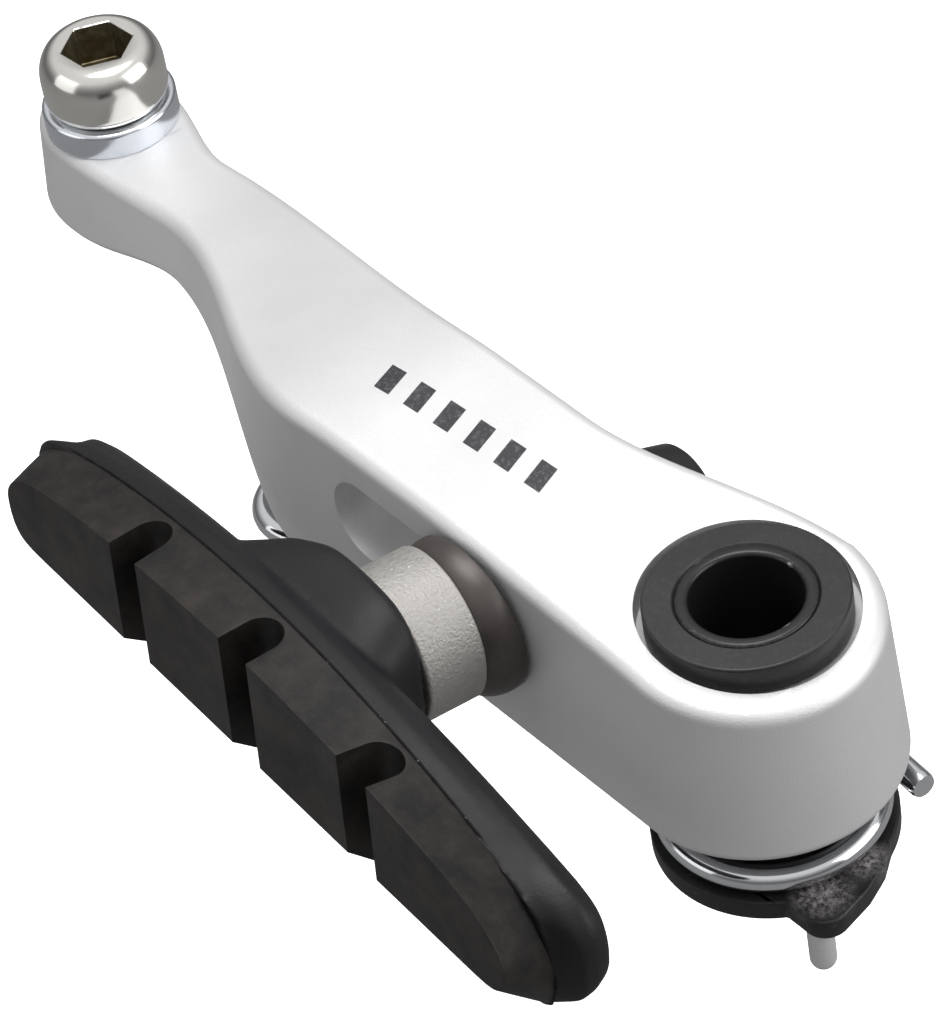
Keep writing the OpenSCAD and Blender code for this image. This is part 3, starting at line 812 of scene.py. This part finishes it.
def add_flash():
    """The raised line where the two halves of the mould met."""
    ring = shoe_outline(between(BACK, 1, MOULD_LINE), SPACER_END + MOULD_LINE, -0.02, 300)
    n, sides = len(ring), 6
    verts = []
    for i, p in enumerate(ring):
        d = Vector(ring[(i + 1) % n]) - Vector(ring[i - 1])
        out = Vector((-d.z, 0, d.x)).normalized()
        p = Vector(p)
        size = FLASH + FLASH_LONG * uneven(p * 1.1) + FLASH_SHORT * uneven(p * 4)
        for k in range(sides):
            c, s = heading(360 / sides * k)
            verts.append(tuple(p + out * (size * c) + Vector((0, FLASH_HALF * s, 0))))
    line = make("shoe_mould_line", verts, skin(n, sides, True), "flash", matrix=SHOE)
    done(line, "shoe", "shoe_rubber")


def add_blocks():
    """The friction blocks: one body from mould line to braking face, cut by round-bottomed grooves."""
    start, layers = between(BACK, 1, BLOCK_START), 12
    rings = []
    for k in range(layers + 1):
        q = [a + (b - a) * k / layers for a, b in zip(start, FACE)]
        rings.append(shoe_outline(q, SPACER_END + q[1], 0.02 * (1 - k / layers)))
    body = loft("shoe_blocks", rings, "rubber", across=6, matrix=SHOE)
    r, top = GROOVE_W / 2, SPACER_END + 13
    tools = []
    for k in (-1, 0, 1):
        u, v = k * GROOVE_GAP, SPACER_END + GROOVE_FLOOR + r
        line = [polar(r, 180 + 180 * i / 20, u, v) for i in range(21)]
        line += [(u + r + 0.1, top), (u - r - 0.1, top)]
        tool = prism("groove", line, -12, 12, "rubber")
        tool.data.transform(SHOE)
        tools.append(tool)
    cut(body, tools)
    soften(body, 0.2, 38)
    by_angle(body, 40)
    done(body, "shoe", "shoe_rubber")


# ---------------------------------------------------------------- pivot and spring

def add_hub():
    tube = [(BORE_R, 0, 0.15), (TUBE_R, 0, 0.35), (TUBE_R, TUBE_LEN, 0.3), (BORE_R, TUBE_LEN, 0.35)]
    part("pivot_tube_body", rounded(tube), "tube", "hub", "tube_black", ["pivot_tube"])
    r, top = TUBE_R + 0.005, TUBE_LEN - 0.05
    flange = [(r, FLANGE_Z), (FLANGE_R, FLANGE_Z, 0.2), (FLANGE_R, top, 0.2), (TUBE_R + 0.15, top, 0.05),
              (r, TUBE_LEN - 0.2)]
    part("front_flange_body", rounded(flange), "flange", "hub", "flange_black", ["front_flange"])
    r, z0, z1 = TUBE_R + 0.01, REAR_WASHER_Z, REAR_WASHER_Z + REAR_WASHER_T
    washer = [(r, z0, 0.05), (REAR_WASHER_R, z0, 0.15), (REAR_WASHER_R, z1, 0.15), (r, z1, 0.05)]
    part("rear_washer_body", rounded(washer), "zinc", "hub", "steel_zinc", ["rear_washer"])
    # the pin's rounded tip and its body, then above the shoulder the thinner root inside the holder
    tip = [polar(PIN_R, a, 0.0, -PIN_LEN) for a in range(-85, 1, 7)]
    shoulder = 0.42
    root = [(PIN_R, shoulder), (PIN_ROOT_R, shoulder), (PIN_ROOT_R, PIN_TOP), (0.0, PIN_TOP)]
    part("stopper_pin_body", [(0.0, -PIN_LEN - PIN_R)] + tip + root, "pin", "hub", "pin_steel",
         ["stopper_pin"], moved(*PIN_XY, 0), segments=64)
    add_holder()


# the holder's plate is round from one end of the lobe to the other; the lobe has straight sides and a
# round corner; the ear that holds the tension screw stands on a tab
LOBE_FROM, LOBE_TO = (-7.15, 5.3), (-8.0, -3.9)
LOBE_SIDE = [(-8.15, -3.62), (-9.4, -1.9), (-9.9, -0.75), (-10.4, 0.45)]
LOBE_X, LOBE_Y, LOBE_R = -9.25, 3.55, 1.75
PLATE_Z0, PLATE_Z1, HUB_R, HUB_Z = 0.5, 2.2, 6.35, 6.9
EAR_X0, EAR_X1, EAR_Y0, EAR_Y1, TAB_Y1, EAR_Z = 3.7, 8.3, -11.6, -9.0, -4.6, 5.5


def box(x0, x1, y0, y1, z0, z1):
    """A square-cornered cutter, or a block to join on."""
    return prism("cutter", [(x0, y0), (x1, y0), (x1, y1), (x0, y1)], z0, z1)


def add_holder():
    low, high = (math.degrees(math.atan2(y, x)) for x, y in (LOBE_FROM, LOBE_TO))
    pts = [polar(PLATE_R, low - (low - high) * k / 110) for k in range(111)]
    pts += LOBE_SIDE
    pts += [polar(LOBE_R, a, LOBE_X, LOBE_Y) for a in range(192, 89, -6)]
    plate = prism("spring_holder_body", pts, PLATE_Z0, PLATE_Z1, "holder")
    cut(plate, [
        disc(0, 0, HUB_R, 1.0, HUB_Z),
        box(EAR_X0, EAR_X1, EAR_Y0, TAB_Y1, PLATE_Z0, PLATE_Z1),
        box(EAR_X0, EAR_X1, EAR_Y0, EAR_Y1, 0.9, EAR_Z),
    ], "UNION")
    screw = disc(0, 0, SCREW_R, -20, -7.5, 40)
    screw.data.transform(moved(SCREW_X, 0, COIL_Z) @ spun(-90, "X"))
    cut(plate, [disc(0, 0, TUBE_R, -1, 12), disc(*PIN_XY, PIN_ROOT_R, -1, PIN_TOP, 48), screw])
    soften(plate, 0.22, 40, clamp=False)
    by_angle(plate, 40)
    done(plate, "hub", "holder_resin", "spring_holder")


# the long leg's angle, the angle where the coil starts, how far round the hook goes, and its radius
LEG_ANGLE, COIL_START, HOOK_TURN, HOOK_BEND_R = 12.6, 265, 195, 3.9
# the coil ends a little over one turn later, where it runs the leg's way, 90 degrees short of its angle
COIL_END = 630 + LEG_ANGLE
# the short end's length and the distance between its points
SHORT_LEN, SHORT_STEP = 7.9, 0.335


def wire_path():
    """The middle of the wire: short end, coil, long leg, hook, and the hook's straight tip."""
    pts = []
    c, s = heading(COIL_START)
    for k in range(24):
        t = SHORT_LEN - SHORT_STEP * k
        pts.append((COIL_R * c + t * s, COIL_R * s - t * c, SHORT_Z))
    steps = 150
    for k in range(steps + 1):
        a = COIL_START + (COIL_END - COIL_START) * k / steps
        h = SHORT_Z - (SHORT_Z - COIL_Z) * ramp(a, COIL_START + 10, COIL_START + 170)
        pts.append((*polar(COIL_R, a), h))
    c, s = heading(LEG_ANGLE)
    x, y = polar(COIL_R, COIL_END)
    for k in range(1, 79):
        t = 0.5 * k
        pts.append((x + t * c, y + t * s, COIL_Z + (LEG_Z - COIL_Z) * ramp(t, 2, 16)))
    for k in range(52):
        pts.append((*polar(HOOK_BEND_R, LEG_ANGLE - 90 + HOOK_TURN * k / 51, HOOK_X, HOOK_Y), LEG_Z))
    c, s = heading(LEG_ANGLE - 90 + HOOK_TURN)
    for t in (0.6, 1.2, 1.8, 2.4):
        pts.append((HOOK_X + HOOK_BEND_R * c - t * s, HOOK_Y + HOOK_BEND_R * s + t * c, LEG_Z))
    return [Vector(p) for p in pts]


def add_spring():
    pts = wire_path()
    n, m = 20, len(pts)
    verts = []
    for k in range(m):
        t = (pts[min(m - 1, k + 1)] - pts[max(0, k - 1)]).normalized()
        s = Vector((0, 0, 1)).cross(t).normalized()
        u = t.cross(s)
        r = WIRE_R * (0.9 if k in (0, m - 1) else 1.0)
        for i in range(n):
            a, b = heading(360 * i / n)
            verts.append(tuple(pts[k] + r * (u * a + s * b)))
    faces = [tuple(range(n)), tuple(range((m - 1) * n, m * n)), *skin(m, n)]
    o = make("return_spring_wire", verts, faces, "spring")
    by_angle(o, 35)
    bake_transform(o)
    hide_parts("return_spring")


def add_hook():
    at = moved(HOOK_X, HOOK_Y, 0)
    r = HOOK_HOLE_R - 0.01
    pin = [(0, 5.1), (3.1, 5.1, 0.25), (3.1, 5.55, 0.1), (r, 5.55), (r, 11.3, 0.3), (0, 11.3)]
    part("hook_pin_body", rounded(pin), "zinc", "arm", "steel_zinc", ["hook_pin"], at, segments=64)
    sleeve = [(1.5, 5.6), (2.75, 5.6, 0.15), (2.75, 7.85, 0.15), (1.5, 7.85)]
    part("hook_sleeve_body", rounded(sleeve), "holder", "arm", "holder_resin", ["hook_sleeve"], at,
         segments=64)


def add_bearing():
    r0, r1, z1 = TUBE_R + 0.04, SLEEVE_R - 0.01, FLANGE_Z - 0.1
    sleeve = [(r0, ARM_Z0), (r1, ARM_Z0), (r1, z1), (r0, z1)]
    part("bearing_sleeve_body", sleeve, "resin", "arm", "bearing_resin", ["bearing_sleeve"])


def add_screw():
    profile = [(0, 0), (1.48, 0, 0.2), (1.48, 4.0), (2.3, 4.0, 0.1), (2.0, 5.6, 0.3), (0, 5.6)]
    o = lathe("tension_screw_body", rounded(profile), "zinc", None, 64)
    cross, half = 1.4, 0.3
    cut(o, [box(-cross, cross, -half, half, 4.9, 7), box(-half, half, -cross, cross, 4.9, 7)])
    o.data.transform(moved(SCREW_X, -7.9, COIL_Z) @ spun(90, "X"))
    by_angle(o, 30)
    done(o, "tension_screw", "steel_zinc", "tension_screw")


# ---------------------------------------------------------------- cable clamp

CABLE_SEAT = moved(CABLE_X, CABLE_Y, SEAT_Z)
CABLE_WASHER_R0, CABLE_WASHER_R1, CABLE_WASHER_T = 3.05, 5.4, 2.25
# the cable's groove beside the bolt, and the height of the socket's floor above the seat
CABLE_X0, CABLE_X1, CABLE_DEPTH, SOCKET_Z = 3.35, 4.75, 0.6, 3.9


def add_cable_washer():
    r0, r1, z = CABLE_WASHER_R0, CABLE_WASHER_R1, CABLE_WASHER_T
    profile = [(r0, 0, 0.1), (r1, 0, 0.1), (r1, z, 0.38), (r0, z, 0.1)]
    w = lathe("cable_washer_body", rounded(profile, 8), "washer")
    cut(w, [box(CABLE_X0, CABLE_X1, -10, 10, -0.5, CABLE_DEPTH)])
    w.data.transform(CABLE_SEAT)
    by_angle(w)
    done(w, "arm", "washer_zinc", "cable_washer")


def add_bolt():
    profile = [(0, -8.0), (2.6, -8.0), (3.0, -7.6), (3.0, 2.28)]
    profile += [(4.3, 2.3), (4.7, 2.5), (4.92, 2.85), (5.0, 3.3)]
    profile += [(3.35 + 1.65 * heading(a)[0], 4.9 + 2.5 * heading(a)[1]) for a in range(0, 91, 6)]
    profile += [(3.35, 7.4), (3.05, 7.36), (0, 7.36)]
    bolt = lathe("cable_bolt_body", profile, "bolt", None, 160)
    cut(bolt, [hexagon(SOCKET_R, SOCKET_Z, 12, 4)])
    soften(bolt, 0.14, 38, clamp=False)
    bolt.data.materials.append(LOOKS["socket"])
    for f in bolt.data.polygons:
        c = f.center / MM
        if math.hypot(c.x, c.y) < SOCKET_R + 0.02 and SOCKET_Z - 0.4 < c.z < 7.15:
            f.material_index = 1
    bolt.data.transform(CABLE_SEAT)
    by_angle(bolt, 30)
    done(bolt, "cable_bolt", "bolt_nickel", "cable_bolt")


# ---------------------------------------------------------------- washers, stud and nut of the shoe

def add_spacer():
    line = [(WASHER_HOLE_R, SPACER_END, 0.15), *sphere_line(WASHER_HOLE_R, 5.6, BALL_R + BALL_GAP, 24),
            (SPACER_R, 6.05, 0.12), (SPACER_R, SPACER_END, 0.3)]
    part("spacer_body", rounded(line), "spacer", "stud_washers", "spacer_steel", ["spacer"], OUTWARD)


def add_domes():
    """The two domed washers that stay flat on the web and move only along the slot."""
    y = WEB_Y1 - BALL[1]
    ball = sphere_line(5.0, DOME_HOLE_R, BALL_R, 8)
    # the washer's side bends over into the ball's own slope
    low, high = Vector((DOME_R, y + 0.5)), Vector(ball[0])
    knee = Vector((DOME_R, high.y - (DOME_R - high.x) * high.x / high.y))
    bend = [tuple(low.lerp(knee, k / 12).lerp(knee.lerp(high, k / 12), k / 12)) for k in range(12)]
    line = [(DOME_HOLE_R, y + GAP, 0.05), (DOME_R, y + GAP, 0.15), *bend, *ball]
    at = moved(*BALL) @ spun(-90, "X")
    part("inner_dome_body", rounded(line), "dome", "domes", "dome_steel", ["inner_dome"], at, 24)
    y = BALL[1] - WEB_Y0
    line = [(DOME_HOLE_R, y + GAP), (OUTER_R, y + GAP, 0.12), (OUTER_R, y + 1.2, 0.15),
            *sphere_line(4.85, DOME_HOLE_R, BALL_S)]
    at = moved(*BALL) @ spun(90, "X")
    part("outer_dome_body", rounded(line), "dome", "domes", "dome_steel", ["outer_dome"], at)


def add_outer_washers():
    z, r = -WASHER_V, OUTER_R - 0.1
    line = [(WASHER_HOLE_R, z), *sphere_line(WASHER_HOLE_R, 4.75, BALL_S + BALL_GAP, 20),
            (OUTER_R, 5.4, 0.1), (OUTER_R, z, 0.15)]
    part("outer_cup_body", rounded(line), "dome", "stud_washers", "dome_steel", ["outer_cup"], INWARD)
    top = z + WASHER_T
    line = [(WASHER_HOLE_R, z, 0.05), (r, z, 0.12), (r, top, 0.12), (WASHER_HOLE_R, top, 0.05)]
    part("flat_washer_body", rounded(line), "zinc", "stud_washers", "steel_zinc", ["flat_washer"],
         INWARD)


def add_stud():
    r, low, high = STUD_R - 0.01, WASHER_V - 4.3, SPACER_END + 6.9
    line = [(0, low), (r, low, 0.4), (r, high, 0.2), (0, high)]
    part("shoe_stud_body", rounded(line), "zinc", "shoe", "steel_zinc", ["shoe_stud"], OUTWARD,
         segments=64)


def add_nut():
    line = [(0, 0), (4.5, 0, 0.15), (4.5, 4.2, 1.5), (4.05, 6.1, 0.4), (3.7, 6.4, 0.2), (0, 6.4)]
    o = lathe("shoe_nut_body", rounded(line), "nut", None, 96)
    cut(o, [disc(0, 0, STUD_R, -1, 3.4, 48), hexagon(SOCKET_R, 3.1, 8)])
    soften(o, 0.15, 40, 2, clamp=False)
    o.data.transform(INWARD @ moved(0, 0, -WASHER_V + WASHER_T + GAP))
    by_angle(o, 30)
    done(o, "shoe_nut", "nut_black", "shoe_nut")


# ---------------------------------------------------------------- floor

# the floor's size and how far it lies below the part, in metres, and how many squares it has each way
FLOOR_SIZE, FLOOR_DROP, FLOOR_SQUARES = 3.0, 0.03, 24
# the glow that makes it white in the picture, and the grey it has for light that comes back from it
FLOOR_GLOW, FLOOR_GREY = 0.72, (0.24, 0.24, 0.24, 1)


def add_floor():
    n = FLOOR_SQUARES
    z = CAD_LOW[2] - FLOOR_DROP
    steps = [(i / n - 0.5) * FLOOR_SIZE / MM for i in range(n + 1)]
    verts = [(x, y, z / MM) for y in steps for x in steps]
    starts = [j * (n + 1) + i for j in range(n) for i in range(n)]
    faces = [(k, k + 1, k + n + 2, k + n + 1) for k in starts]
    t = LOOKS["floor"].node_tree
    glow = node(t, "ShaderNodeEmission", Strength=FLOOR_GLOW)
    both = node(t, "ShaderNodeAddShader")
    dull = node(t, "ShaderNodeBsdfDiffuse", Color=FLOOR_GREY)
    pick = node(t, "ShaderNodeMixShader")
    link(t, t.nodes["Principled BSDF"].outputs[0], both.inputs[0])
    link(t, glow.outputs[0], both.inputs[1])
    link(t, node(t, "ShaderNodeLightPath").outputs["Is Camera Ray"], pick.inputs[0])
    link(t, dull.outputs[0], pick.inputs[1])
    link(t, both.outputs[0], pick.inputs[2])
    link(t, pick.outputs[0], t.nodes["Material Output"].inputs["Surface"])
    make("floor", verts, faces, "floor", smooth=False)


# ---------------------------------------------------------------- the whole

# keeps the pale floor as pale as it is lit
SCENE.view_settings.view_transform = "Standard"
add_camera()
add_world()
add_arm()
add_holder_back()
add_flash()
add_blocks()
add_hub()
add_spring()
add_bearing()
add_hook()
add_cable_washer()
add_bolt()
add_screw()
add_spacer()
add_domes()
add_outer_washers()
add_nut()
add_stud()
# the plate moulded into the shoe stays as it is in CAD
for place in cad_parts["shoe_plate"].material_slots:
    place.material = LOOKS["plate"]
add_floor()
for light in LIGHTS:
    add_light(*light)
